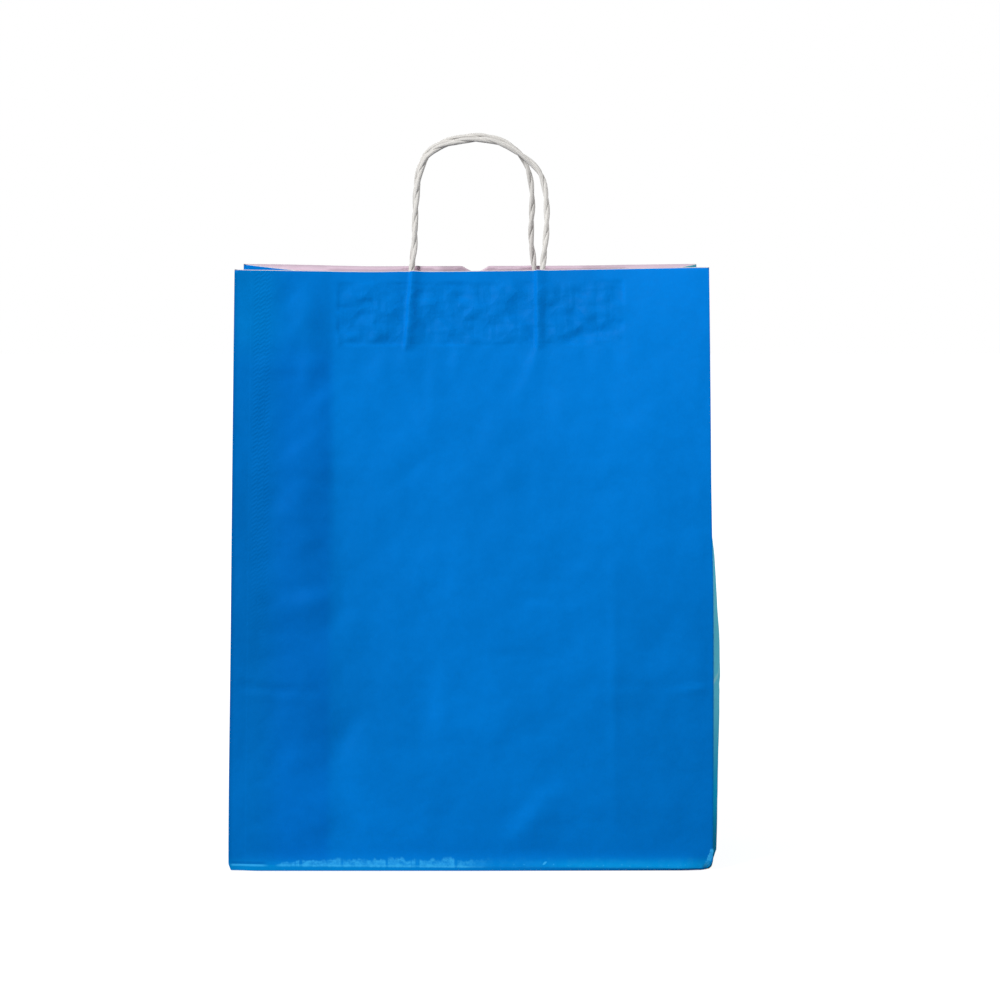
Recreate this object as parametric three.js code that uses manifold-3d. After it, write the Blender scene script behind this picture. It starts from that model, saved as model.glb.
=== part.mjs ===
import * as THREE from "three";
import Module from "manifold-3d";
import { mergeVertices } from "three/addons/utils/BufferGeometryUtils.js";

// A printed paper carrier bag that stands open on its block base, with two twisted paper cord handles.
// The front panel looks towards -Y, and the base rests on z = 0.

// The folded sheet
const bagWidth = 320;
const bagDepth = 120;
const bagHeight = 400;
const paper = 0.16;

// The mouth: how far the top corners lean in, and how far each panel is drawn in at its middle
const frontLeanLeft = 50;
const frontLeanRight = 25;
const backLean = 2;
const frontDraw = 22;
const backDraw = 26;
const leanPowerLeft = 1.3;
const leanPowerRight = 2.2;

// The gussets: the left one folds in all the way down, the right one has popped out below popTop
const foldDrop = 6;
const popTop = 228;
const popOut = 6.5;
const popPower = 0.5;
const popForward = 0.5;

// The foot: a crease a little above the floor, and a crushed corner at the front right
const footRise = 1.8;
const footRiseLeft = 4.6;
const footInset = 1.6;
const crushDepth = 3.5;
const crushReach = 14;

// The base flaps, the glued seam and the thumb notch
const flapLap = 15;
const seamInset = 11;
const seamWidth = 22;
const notchRadius = 12;
const notchDepth = 4.5;
const notchOffset = 3;
const notchReach = 20;

// The handles and the paper patches that hold them
const cordDiameter = 4;
const patchWidth = 193;
const patchHeight = 42;
const patchDrop = 7;
const patchOffset = 6.5;
const clearance = 0.3;

// Half of what the right side pops out, so that the bag stays centred on the origin
const sideShift = popOut / 2;

// The cords' routes, from one leg's end in its patch to the other's
const frontRoute = [
  [-46.3, -7.3, 347.2], [-45.2, -2.7, 367.0], [-44.0, 2.1, 386.7], [-43.1, 5.2, 397.0],
  [-41.3, 7.2, 412.0], [-41.0, 9.0, 427.3], [-40.2, 11.0, 440.7], [-38.9, 12.5, 455.5],
  [-36.5, 13.2, 465.6], [-32.1, 13.8, 474.0], [-24.7, 14.2, 479.4], [-16.0, 14.5, 482.4],
  [-6.5, 14.5, 484.2], [2.9, 14.5, 484.7], [12.4, 14.5, 483.4], [21.8, 14.3, 480.0],
  [29.9, 14.0, 475.0], [37.3, 13.5, 469.3], [43.4, 12.5, 462.2], [46.7, 10.5, 451.5],
  [47.9, 8.0, 438.7], [47.7, 4.0, 425.3], [46.5, 0.2, 411.5], [44.9, -2.7, 398.2],
  [44.2, -5.4, 387.7], [43.4, -10.1, 367.9], [42.7, -14.7, 348.1],
];
const backRoute = [
  [-44.4, 35.8, 351.0], [-44.4, 33.8, 370.9], [-44.3, 31.7, 390.9], [-43.6, 30.4, 402.1],
  [-42.1, 29.0, 413.7], [-41.4, 27.0, 427.2], [-40.9, 25.0, 440.8], [-40.2, 22.8, 454.3],
  [-38.4, 21.0, 464.4], [-35.0, 20.0, 472.8], [-28.9, 19.5, 479.3], [-21.4, 19.3, 483.2],
  [-12.6, 19.2, 485.8], [-3.2, 19.2, 487.1], [6.3, 19.2, 487.0], [15.1, 19.3, 485.0],
  [22.5, 19.5, 481.5], [29.3, 20.0, 475.8], [34.0, 21.0, 468.4], [37.1, 22.8, 457.6],
  [38.3, 25.0, 444.2], [37.8, 27.0, 430.6], [37.6, 29.0, 417.4], [39.2, 30.6, 402.8],
  [40.1, 32.0, 390.8], [40.0, 34.4, 370.9], [40.0, 36.6, 350.9],
];

const kernel = await Module();
kernel.setup();

const lerp = THREE.MathUtils.lerp;
const clamp = THREE.MathUtils.clamp;

// A point of the front (side -1) or back (side 1) panel: share runs from its left edge to its right edge,
// and rise is the height on the sheet.
function panelPoint(side, share, rise) {
  const level = rise / bagHeight;
  const lean = Math.pow(level, lerp(leanPowerLeft, leanPowerRight, share));
  const draw = side < 0 ? frontDraw : backDraw;
  const cornerLean = side < 0 ? lerp(frontLeanLeft, frontLeanRight, share) : backLean;
  const inward = cornerLean + 4 * draw * share * (1 - share);
  const narrowing = (8 / 3) * (draw / bagWidth) ** 2;
  const x = (share - 0.5) * bagWidth * (1 - narrowing * lean) - sideShift;
  const y = side * (bagDepth / 2 - inward * lean);
  return new THREE.Vector3(x, y, rise - (inward ** 2 / (2 * bagHeight)) * level);
}

// The way from a panel's outer face to the inside of the bag
function panelInward(side, share, rise) {
  const step = 0.01;
  const across = panelPoint(side, share + step, rise).sub(panelPoint(side, share - step, rise));
  const up = panelPoint(side, share, rise + 1).sub(panelPoint(side, share, rise - 1));
  return across.cross(up).normalize().multiplyScalar(side);
}

// How far in a gusset's fold lies where its halves keep their width
function foldIn(share, rise) {
  const gap = panelPoint(-1, share, rise).distanceTo(panelPoint(1, share, rise));
  return Math.sqrt(Math.max(0, (bagDepth / 2) ** 2 - (gap / 2) ** 2));
}

// A point of the left (side -1) or right (side 1) gusset: across runs from the front corner to the back
// corner. Two slanting creases rise from the foot's corners and meet on the fold at half the bag's depth.
function gussetPoint(side, across, rise) {
  const share = side < 0 ? 0 : 1;
  const meet = bagDepth / 2;
  const point = panelPoint(-1, share, rise).lerp(panelPoint(1, share, rise), across);
  const towardsFold = 1 - Math.abs(2 * across - 1);
  const flat = clamp(rise / meet, 0.001, 1);
  const crease = Math.min(1, towardsFold / flat);
  let depth = foldIn(share, Math.max(rise, meet)) * Math.min(1, rise / meet) * crease;
  if (side > 0) {
    const folded = THREE.MathUtils.smoothstep(rise, popTop, bagHeight);
    const popped = Math.sin(Math.PI * clamp(rise / popTop, 0, 1)) ** popPower;
    const bulge = Math.sin(Math.PI * across ** popForward);
    depth = foldIn(share, rise) * folded * towardsFold - popOut * popped * bulge;
  }
  point.x -= side * depth;
  point.z -= foldDrop * (rise / bagHeight) ** 2 * towardsFold;
  return point;
}

// The bag's stations, once round from the front left corner, and its levels up the sheet
const panelShares = [0, seamInset / bagWidth];
const panelSteps = 14;
const seamEnd = seamInset + seamWidth;
for (let i = 0; i <= panelSteps; i++) {
  panelShares.push(lerp(seamEnd / bagWidth, 1, i / panelSteps));
}
const panelEnd = () => panelShares.length - 1;
const gussetSteps = 8;
const stations = [];
panelShares.forEach((share) => stations.push((rise) => panelPoint(-1, share, rise)));
for (let j = 1; j < gussetSteps; j++) {
  stations.push((rise) => gussetPoint(1, j / gussetSteps, rise));
}
panelShares.toReversed().forEach((share) => stations.push((rise) => panelPoint(1, share, rise)));
for (let j = gussetSteps - 1; j > 0; j--) {
  stations.push((rise) => gussetPoint(-1, j / gussetSteps, rise));
}

const levels = [];
for (let k = 1; k <= 4; k++) {
  levels.push((bagDepth / 8) * k);
}
const upperSteps = 14;
for (let k = 1; k <= upperSteps; k++) {
  levels.push(lerp(bagDepth / 2, bagHeight, k / upperSteps));
}

// The crushed front right corner of the foot
function crushed(point) {
  const corner = new THREE.Vector3(bagWidth / 2 - sideShift, -bagDepth / 2, 0);
  const share = clamp(1 - point.distanceTo(corner) / crushReach, 0, 1) ** 2;
  point.x -= crushDepth * share;
  point.y += 0.5 * crushDepth * share;
  return point;
}

// The ring where the foot's crease lies, highest at the front left corner
function footCrease(station) {
  const floor = station(0);
  const left = 0.5 - (floor.x + sideShift) / bagWidth;
  const front = 0.5 - floor.y / bagDepth;
  return crushed(station(lerp(footRise, footRiseLeft, left * front)));
}

// The ring where the walls turn into the base
function footRing(station, inset, height) {
  const floor = station(0);
  floor.x = (floor.x + sideShift) * (1 - (2 * inset) / bagWidth) - sideShift;
  floor.y *= 1 - (2 * inset) / bagDepth;
  floor.z = height;
  return crushed(floor);
}

// A closed mesh from points and triangles
function closedGeometry(points, triangles) {
  const geometry = new THREE.BufferGeometry();
  const place = new Float32Array(points.flatMap((p) => [p.x, p.y, p.z]));
  geometry.setAttribute("position", new THREE.BufferAttribute(place, 3));
  geometry.setIndex(triangles);
  return geometry;
}

// The walls' outer rings from the foot up, and the inner rings one sheet further in
const baseTop = 3 * paper;
const outerRings = [
  stations.map((station) => footRing(station, footInset, 2 * paper)),
  stations.map(footCrease),
  ...levels.map((rise) => stations.map((station) => station(rise))),
];
const topRing = () => outerRings.length - 1;

function ringNormals() {
  const triangles = [];
  for (let l = 0; l < topRing(); l++) {
    for (let s = 0; s < stations.length; s++) {
      const next = (s + 1) % stations.length;
      const a = l * stations.length + s;
      const b = l * stations.length + next;
      triangles.push(a, b, b + stations.length, a, b + stations.length, a + stations.length);
    }
  }
  const geometry = closedGeometry(outerRings.flat(), triangles);
  geometry.computeVertexNormals();
  return geometry.getAttribute("normal");
}

const normals = ringNormals();

// A point of the wall, so far in from its outer face
function wallPoint(ring, station, inset) {
  const normal = new THREE.Vector3().fromBufferAttribute(normals, ring * stations.length + station);
  const point = outerRings[ring][station].clone();
  const height = point.z;
  point.addScaledVector(normal, -inset);
  if (ring === topRing()) {
    point.z = height;
  }
  return point;
}

// The sheet's shell: walls, base and the cut edge at the mouth
function shellGeometry() {
  const points = outerRings.flat();
  const innerStart = points.length;
  stations.forEach((station) => points.push(footRing(station, footInset + paper, baseTop)));
  for (let l = 1; l <= topRing(); l++) {
    for (let s = 0; s < stations.length; s++) {
      points.push(wallPoint(l, s, paper));
    }
  }
  const triangles = [];
  for (let l = 0; l < topRing(); l++) {
    for (let s = 0; s < stations.length; s++) {
      const next = (s + 1) % stations.length;
      const a = l * stations.length + s;
      const b = l * stations.length + next;
      const c = b + stations.length;
      const d = a + stations.length;
      const fallingCrease = s > panelEnd() + gussetSteps / 2 - 1 && s < panelEnd() + gussetSteps;
      const lastHalf = s >= stations.length - gussetSteps / 2;
      const faces = fallingCrease || lastHalf ? [a, b, d, b, c, d] : [a, b, c, a, c, d];
      triangles.push(...faces);
      triangles.push(...faces.map((v) => v + innerStart).reverse());
    }
  }
  for (let s = 0; s < stations.length; s++) {
    const a = topRing() * stations.length + s;
    const b = topRing() * stations.length + ((s + 1) % stations.length);
    triangles.push(a, b, b + innerStart, a, b + innerStart, a + innerStart);
  }
  const rightCorner = panelEnd();
  const leftCorner = 2 * panelEnd() + gussetSteps;
  const baseFace = (start, upward) => {
    const grid = [];
    for (let i = 0; i <= panelEnd(); i++) {
      grid.push([]);
      const front = points[start + i];
      const back = points[start + leftCorner - i];
      for (let j = 0; j <= gussetSteps; j++) {
        let index = points.length;
        if (j === 0) {
          index = start + i;
        } else if (j === gussetSteps) {
          index = start + leftCorner - i;
        } else if (i === panelEnd()) {
          index = start + rightCorner + j;
        } else if (i === 0) {
          index = start + stations.length - j;
        } else {
          points.push(front.clone().lerp(back, j / gussetSteps));
        }
        grid[i].push(index);
      }
    }
    for (let i = 0; i < panelEnd(); i++) {
      for (let j = 0; j < gussetSteps; j++) {
        const face = [grid[i][j], grid[i + 1][j], grid[i + 1][j + 1]];
        const other = [grid[i][j], grid[i + 1][j + 1], grid[i][j + 1]];
        triangles.push(...(upward ? [...face, ...other] : [...face.reverse(), ...other.reverse()]));
      }
    }
  };
  baseFace(0, false);
  baseFace(innerStart, true);
  return closedGeometry(points, triangles);
}

// A thin solid between two faces that are given row by row
function sheetGeometry(low, high) {
  const rows = low.length;
  const columns = low[0].length;
  const points = [...low.flat(), ...high.flat()];
  const lift = rows * columns;
  const at = (r, c) => r * columns + c;
  const triangles = [];
  for (let r = 0; r < rows - 1; r++) {
    for (let c = 0; c < columns - 1; c++) {
      const quad = [at(r, c), at(r, c + 1), at(r + 1, c + 1), at(r, c), at(r + 1, c + 1), at(r + 1, c)];
      triangles.push(...quad.map((v) => v + lift));
      triangles.push(...quad.reverse());
    }
  }
  const rim = [];
  for (let c = 0; c < columns - 1; c++) {
    rim.push(at(0, c));
  }
  for (let r = 0; r < rows - 1; r++) {
    rim.push(at(r, columns - 1));
  }
  for (let c = columns - 1; c > 0; c--) {
    rim.push(at(rows - 1, c));
  }
  for (let r = rows - 1; r > 0; r--) {
    rim.push(at(r, 0));
  }
  rim.forEach((v, k) => {
    const next = rim[(k + 1) % rim.length];
    triangles.push(v, next, next + lift, v, next + lift, v + lift);
  });
  return closedGeometry(points, triangles);
}

function toSolid(geometry) {
  const plain = geometry.clone();
  plain.deleteAttribute("normal");
  plain.deleteAttribute("uv");
  const merged = mergeVertices(plain, 1e-4);
  const vertProperties = new Float32Array(merged.getAttribute("position").array);
  const triVerts = new Uint32Array(merged.getIndex().array);
  return new kernel.Manifold(new kernel.Mesh({ numProp: 3, vertProperties, triVerts }));
}

function toGeometry(solid) {
  const mesh = solid.getMesh();
  const geometry = new THREE.BufferGeometry();
  geometry.setAttribute("position", new THREE.BufferAttribute(new Float32Array(mesh.vertProperties), 3));
  geometry.setIndex([...mesh.triVerts]);
  return geometry;
}

// A base flap with slanting ends, folded in from the front (side -1) or the back (side 1)
function flapGeometry(side, low) {
  const halfWidth = bagWidth / 2 - footInset - paper;
  const halfDepth = bagDepth / 2 - footInset - paper;
  const reach = halfDepth + flapLap;
  const outline = new THREE.Shape();
  outline.moveTo(-halfWidth, side * halfDepth);
  outline.lineTo(halfWidth - crushDepth, side * halfDepth);
  outline.lineTo(halfWidth - reach, -side * flapLap);
  outline.lineTo(reach - halfWidth, -side * flapLap);
  outline.closePath();
  const height = 2.5 * paper - low;
  const geometry = new THREE.ExtrudeGeometry(outline, { depth: height, bevelEnabled: false });
  return geometry.translate(-sideShift, 0, low);
}

// The second layer of the glued seam, on the inside of the front panel
function seamGeometry() {
  const low = [];
  const high = [];
  levels.forEach((rise, k) => {
    const ring = outerRings.length - levels.length + k;
    low.push([2, 1].map((s) => wallPoint(ring, s, 0.5 * paper)));
    high.push([2, 1].map((s) => wallPoint(ring, s, 2 * paper)));
  });
  return sheetGeometry(low, high);
}

function notchGeometry() {
  const edge = panelPoint(1, 0.5 + notchOffset / bagWidth, bagHeight);
  const geometry = new THREE.CylinderGeometry(notchRadius, notchRadius, notchReach, 32);
  return geometry.translate(edge.x, edge.y, edge.z + notchRadius - notchDepth);
}

function bagGeometry() {
  const body = toSolid(shellGeometry())
    .add(toSolid(flapGeometry(-1, paper)))
    .add(toSolid(flapGeometry(1, 0)))
    .add(toSolid(seamGeometry()))
    .subtract(toSolid(notchGeometry()));
  return toGeometry(body);
}

// The layers of a handle's patch, counted in from the panel's outer face
const backingFace = paper + clearance;
const cordBed = backingFace + paper + clearance;

// Where the sheet has a given x, as a share of the panel's width
function shareAt(side, x, rise) {
  let share = 0.5;
  for (let k = 0; k < 8; k++) {
    share += (x - panelPoint(side, share, rise).x) / bagWidth;
  }
  return share;
}

const patchTop = bagHeight - patchDrop;
const patchBottom = patchTop - patchHeight;
const patchRows = 5;
const plainSteps = 6;

// The strip's places across, with more of them where it rides over a cord leg, and how high it rides there
const humpShape = [
  [-3.5, 0], [-1.6, 1.1], [-1.15, 1.7], [-0.6, 2.15], [0, 2.3],
  [0.6, 2.15], [1.15, 1.7], [1.6, 1.1], [3.5, 0],
];

function patchColumns(side, route, rise) {
  const radius = cordDiameter / 2;
  const level = (rise - patchBottom) / patchHeight;
  const leg = (foot, exit) => lerp(foot[0], exit[0], level);
  const legs = [leg(route[0], route[2]), leg(route[route.length - 1], route[route.length - 3])];
  const middle = patchOffset - sideShift;
  const edge = (way) => shareAt(side, middle + (way * patchWidth) / 2, rise);
  const columns = [{ share: edge(-1), hump: 0 }];
  const plainStretch = (from, to) => {
    for (let k = 1; k < plainSteps; k++) {
      columns.push({ share: shareAt(side, lerp(from, to, k / plainSteps), rise), hump: 0 });
    }
  };
  const humpReach = 3.5 * radius;
  plainStretch(middle - patchWidth / 2, legs[0] - humpReach);
  legs.forEach((x, k) => {
    humpShape.forEach(([offset, height]) => {
      columns.push({ share: shareAt(side, x + offset * radius, rise), hump: height * radius });
    });
    plainStretch(x + humpReach, k === 0 ? legs[1] - humpReach : middle + patchWidth / 2);
  });
  columns.push({ share: edge(1), hump: 0 });
  return columns;
}

function patchGeometry(side, route, bed, rides) {
  const low = [];
  const high = [];
  for (let r = 0; r < patchRows; r++) {
    const rise = lerp(patchBottom, patchTop, r / (patchRows - 1));
    const columns = patchColumns(side, route, rise);
    const face = (inset) => columns.map(({ share, hump }) => {
      const inward = panelInward(side, share, rise);
      return panelPoint(side, share, rise).addScaledVector(inward, inset + (rides ? hump : 0));
    });
    low.push(side < 0 ? face(bed).reverse() : face(bed));
    high.push(side < 0 ? face(bed + paper).reverse() : face(bed + paper));
  }
  return sheetGeometry(low, high);
}

function cordGeometry(route) {
  const curve = new THREE.CatmullRomCurve3(route.map(([x, y, z]) => new THREE.Vector3(x, y, z)));
  const section = new THREE.Shape();
  section.absarc(0, 0, cordDiameter / 2, 0, 2 * Math.PI);
  return new THREE.ExtrudeGeometry(section, { steps: 44, curveSegments: 5, extrudePath: curve });
}

function named(name, geometry, color, roughness) {
  const mesh = new THREE.Mesh(geometry, new THREE.MeshStandardMaterial({ color, roughness, metalness: 0 }));
  mesh.name = name;
  return mesh;
}

const printedBlue = 0x0172ce;
const plainPaper = 0xe0ced8;
const cordWhite = 0xcbcac8;

const bag = new THREE.Group();
bag.add(named("bag_body", bagGeometry(), printedBlue, 0.5));
bag.add(named("front_patch_backing", patchGeometry(-1, frontRoute, backingFace, false), plainPaper, 0.8));
bag.add(named("front_patch_cover", patchGeometry(-1, frontRoute, cordBed, true), plainPaper, 0.8));
bag.add(named("front_handle", cordGeometry(frontRoute), cordWhite, 0.8));
bag.add(named("back_patch_backing", patchGeometry(1, backRoute, backingFace, false), plainPaper, 0.8));
bag.add(named("back_patch_cover", patchGeometry(1, backRoute, cordBed, true), plainPaper, 0.8));
bag.add(named("back_handle", cordGeometry(backRoute), cordWhite, 0.8));

export default bag;
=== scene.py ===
import math

import bpy
import numpy as np
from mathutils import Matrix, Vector, noise


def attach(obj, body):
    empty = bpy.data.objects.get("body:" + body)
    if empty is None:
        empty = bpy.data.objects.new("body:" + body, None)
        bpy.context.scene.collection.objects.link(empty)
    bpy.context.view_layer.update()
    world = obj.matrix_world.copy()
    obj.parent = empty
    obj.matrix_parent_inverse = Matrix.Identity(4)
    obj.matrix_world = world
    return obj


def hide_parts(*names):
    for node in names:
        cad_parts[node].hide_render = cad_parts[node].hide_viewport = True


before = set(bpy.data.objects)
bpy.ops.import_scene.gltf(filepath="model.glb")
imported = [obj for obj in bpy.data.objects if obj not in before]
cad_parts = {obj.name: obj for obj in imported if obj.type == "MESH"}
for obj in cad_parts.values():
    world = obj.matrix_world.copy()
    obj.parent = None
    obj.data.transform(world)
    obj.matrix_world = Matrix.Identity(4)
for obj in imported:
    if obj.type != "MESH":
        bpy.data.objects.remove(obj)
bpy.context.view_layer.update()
scene = bpy.context.scene
scene.view_settings.view_transform = "Standard"
print("frame loaded:", sorted(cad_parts))


# camera: long lens, square to the front panel, looking a little down
cameraSet = {"target": (0.0164, 0.0, 0.242), "distance": 2.2, "elevation": 5.0, "lens": 117.1, "sensor": 36.0}

tilt = math.radians(cameraSet["elevation"])
cameraData = bpy.data.cameras.new("photoCamera")
cameraData.lens = cameraSet["lens"]
cameraData.sensor_width = cameraSet["sensor"]
photoCamera = bpy.data.objects.new("photoCamera", cameraData)
scene.collection.objects.link(photoCamera)
towardsCamera = Vector((0, -math.cos(tilt), math.sin(tilt)))
photoCamera.location = Vector(cameraSet["target"]) + cameraSet["distance"] * towardsCamera
photoCamera.rotation_euler = (math.pi / 2 - tilt, 0, 0)
scene.camera = photoCamera


# small helpers for working in edit mode
def editMode():
    bpy.ops.object.mode_set(mode="EDIT")


def objectMode():
    bpy.ops.object.mode_set(mode="OBJECT")


def deselectAll():
    if bpy.context.object and bpy.context.object.mode != "OBJECT":
        objectMode()
    bpy.ops.object.select_all(action="DESELECT")


def pickPiece(piece):
    deselectAll()
    piece.select_set(True)
    bpy.context.view_layer.objects.active = piece


def namePiece(name):
    piece = bpy.context.object
    piece.name = name
    piece.data.name = name
    return piece


def editSelect(piece, kind, test):
    # kind is FACE or EDGE; test gets the face's centre and normal, or the edge's two ends
    pickPiece(piece)
    editMode()
    bpy.ops.mesh.select_mode(type=kind)
    bpy.ops.mesh.select_all(action="DESELECT")
    objectMode()
    mesh = piece.data
    if kind == "FACE":
        for face in mesh.polygons:
            face.select = bool(test(face.center, face.normal))
    else:
        for edge in mesh.edges:
            a, b = (mesh.vertices[i].co for i in edge.vertices)
            edge.select = bool(test(a, b))
    editMode()


def faceOut():
    bpy.ops.mesh.select_all(action="SELECT")
    bpy.ops.mesh.normals_make_consistent(inside=False)


def cutWhere(piece, kind, cuts, test):
    editSelect(piece, kind, test)
    bpy.ops.mesh.subdivide(number_cuts=cuts)
    objectMode()


def readPoints(mesh):
    co = np.empty(len(mesh.vertices) * 3)
    mesh.vertices.foreach_get("co", co)
    return co.reshape(-1, 3)


def writePoints(mesh, co):
    mesh.vertices.foreach_set("co", np.asarray(co).ravel())
    mesh.update()


def layMap(mesh, name, flat):
    # flat holds one place a point
    uv = mesh.uv_layers.new(name=name)
    for loop in mesh.loops:
        uv.data[loop.index].uv = flat[loop.vertex_index]


def mix(a, b, t):
    return a + (b - a) * t


def ramp(x, low, high):
    t = np.clip((x - low) / (high - low), 0, 1)
    return t * t * (3 - 2 * t)


def cloud(points, scale, seed):
    # smooth noise, one value a point, about -1 to 1
    return np.array([noise.noise(Vector(p)) for p in points * scale + (seed, -seed, 2 * seed)])


def clouds(points, layers):
    # layers are height, scale and seed
    return sum(tall * cloud(points, scale, seed) for tall, scale, seed in layers)


# the folded sheet's form, in metres
bagForm = {
    "width": 0.320, "depth": 0.120, "height": 0.400, "paper": 0.00016,
    "lean": [(0.050, 0.025), (0.002, 0.002)],  # how far the corners of the front and the back lean in
    "leanPower": (1.3, 2.2),
    "draw": (0.022, 0.026),  # how far each panel is drawn in at its middle
    "backTuck": 0.0021,  # the back's right corner stands in a little
    "spread": [(-0.0008, 0.01, 0.17), (0.0009, 0.17, 0.27)],  # the front's lower corners: reach, from, to
    "spreadPower": 8,
    "foldDrop": (0.0036, 0.0060),
    "shorten": (0.85, 1.0),  # how much the front's and the back's mouth sink as they lean
    "popTop": 0.223,  # the right gusset has popped out below this
    "popOut": 0.0065, "popPower": 0.5, "popForward": 0.5,
    "popFront": [  # height and share of its front part, down to the crushed corner
        (0.0, 0.0), (0.0080, 0.22), (0.0110, 0.61), (0.050, 0.74), (0.100, 0.83),
        (0.133, 0.94), (0.155, 0.88), (0.185, 0.58), (0.212, 0.36), (0.226, 0.0),
    ],
    "popFrontTo": (0.30, 0.55),
    "footRise": (0.0018, 0.0046), "footInset": 0.0016,
    "crushDepth": 0.0050, "crushReach": 0.0070, "crushPower": 1.5,
    "notchWidth": 0.0186, "notchDepth": 0.0045, "notchOffset": 0.0041, "notchPower": 1.25,
    "mouthDip": (0.0006, -0.072, 0.035),  # the back's edge: depth, place and breadth
    "mouthZone": 0.030,
}
width, depth, height = bagForm["width"], bagForm["depth"], bagForm["height"]
paper = bagForm["paper"]
sideShift = bagForm["popOut"] / 2


def thicken(piece, **settings):
    wall = piece.modifiers.new("thickness", "SOLIDIFY")
    wall.thickness = paper
    for key, value in settings.items():
        setattr(wall, key, value)
    bpy.ops.object.modifier_apply(modifier="thickness")


def panelPoint(side, share, rise):
    # side -1 is the front panel, 1 the back; share runs from its left edge to its right
    level = np.maximum(rise, 0) / height
    lean = level ** mix(*bagForm["leanPower"], share)
    back = int(side > 0)
    draw, shorten = bagForm["draw"][back], bagForm["shorten"][back]
    inward = mix(*bagForm["lean"][back], share) + 4 * draw * share * (1 - share)
    narrowing = (8 / 3) * (draw / width) ** 2
    x = (share - 0.5) * width * (1 - narrowing * lean) - sideShift
    if back:
        x = x - bagForm["backTuck"] * share * lean
    else:
        for (reach, low, high), near in zip(bagForm["spread"], (1 - share, share)):
            x = x + reach * near ** bagForm["spreadPower"] * (1 - ramp(rise, low, high))
    y = side * (depth / 2 - inward * lean)
    z = rise - shorten * inward ** 2 / (2 * height) * level
    return np.stack([x, y, z], axis=-1)


def panelOutward(side, share, rise):
    shareStep, riseStep = 0.01, 0.001
    across = panelPoint(side, share + shareStep, rise) - panelPoint(side, share - shareStep, rise)
    up = panelPoint(side, share, rise + riseStep) - panelPoint(side, share, rise - riseStep)
    normal = np.cross(across, up) * -side
    return normal / np.linalg.norm(normal, axis=-1, keepdims=True)


def foldIn(share, rise):
    gap = np.linalg.norm(panelPoint(-1, share, rise) - panelPoint(1, share, rise), axis=-1)
    return np.sqrt(np.maximum(0, (depth / 2) ** 2 - (gap / 2) ** 2))


def gussetPoint(side, across, rise):
    # side -1 is the left gusset, 1 the right; across runs from the front corner to the back
    share = np.zeros_like(rise) if side < 0 else np.ones_like(rise)
    meet = depth / 2
    a, b = panelPoint(-1, share, rise), panelPoint(1, share, rise)
    point = a + (b - a) * across[:, None]
    towardsFold = 1 - np.abs(2 * across - 1)
    if side < 0:
        crease = np.minimum(1, towardsFold / np.clip(rise / meet, 0.001, 1))
        inward = foldIn(share, np.maximum(rise, meet)) * np.minimum(1, rise / meet) * crease
    else:
        folded = ramp(rise, bagForm["popTop"], height)
        popped = np.sin(math.pi * np.clip(rise / bagForm["popTop"], 0, 1))
        popped = np.maximum(0, popped) ** bagForm["popPower"]
        inFront = np.interp(rise, *zip(*bagForm["popFront"]))
        popped = mix(inFront, popped, ramp(across, *bagForm["popFrontTo"]))
        bulge = np.sin(math.pi * across ** bagForm["popForward"])
        inward = foldIn(share, rise) * folded * towardsFold - bagForm["popOut"] * popped * bulge
    point[:, 0] -= side * inward
    point[:, 2] -= bagForm["foldDrop"][0 if side < 0 else 1] * (rise / height) ** 2 * towardsFold
    return point


# the twisted handles, in metres
handleSet = {
    "diameter": 0.004, "sides": 32, "ringSpacing": 0.0008,
    "lay": 0.035,  # one full turn of the two strands
    "loose": (0.45, 38, 3.1), "swell": (0.05, 55, 7.7),  # unevenness: amount, scale and seed
    "strandOffset": 0.00055, "strandRadius": 0.00152,  # of the 2 mm radius
    "grooveDepth": 0.00045, "grooveWide": 0.26,  # the line where the two strands meet
    "pleatDepth": 0.00006, "pleats": 6, "pleatTurn": 520, "pleatSway": (1.6, 160),
    "roughDepth": 0.00008, "roughScale": 520, "roughStretch": 0.35,
}

# their routes, from one leg's end in its patch to the other's
frontRoute = [
    (-0.0463, -0.0073, 0.3472), (-0.0452, -0.0027, 0.3670), (-0.0440, 0.0021, 0.3867),
    (-0.0431, 0.0052, 0.3970), (-0.0413, 0.0072, 0.4120), (-0.0410, 0.0090, 0.4273),
    (-0.0402, 0.0110, 0.4407), (-0.0389, 0.0125, 0.4555), (-0.0365, 0.0132, 0.4656),
    (-0.0321, 0.0138, 0.4740), (-0.0247, 0.0142, 0.4794), (-0.0160, 0.0145, 0.4824),
    (-0.0065, 0.0145, 0.4842), (0.0029, 0.0145, 0.4847), (0.0124, 0.0145, 0.4834),
    (0.0218, 0.0143, 0.4800), (0.0299, 0.0140, 0.4750), (0.0373, 0.0135, 0.4693),
    (0.0434, 0.0125, 0.4622), (0.0467, 0.0105, 0.4515), (0.0479, 0.0080, 0.4387),
    (0.0477, 0.0040, 0.4253), (0.0465, 0.0002, 0.4115), (0.0449, -0.0027, 0.3982),
    (0.0442, -0.0054, 0.3877), (0.0434, -0.0101, 0.3679), (0.0427, -0.0147, 0.3481),
]
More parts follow.
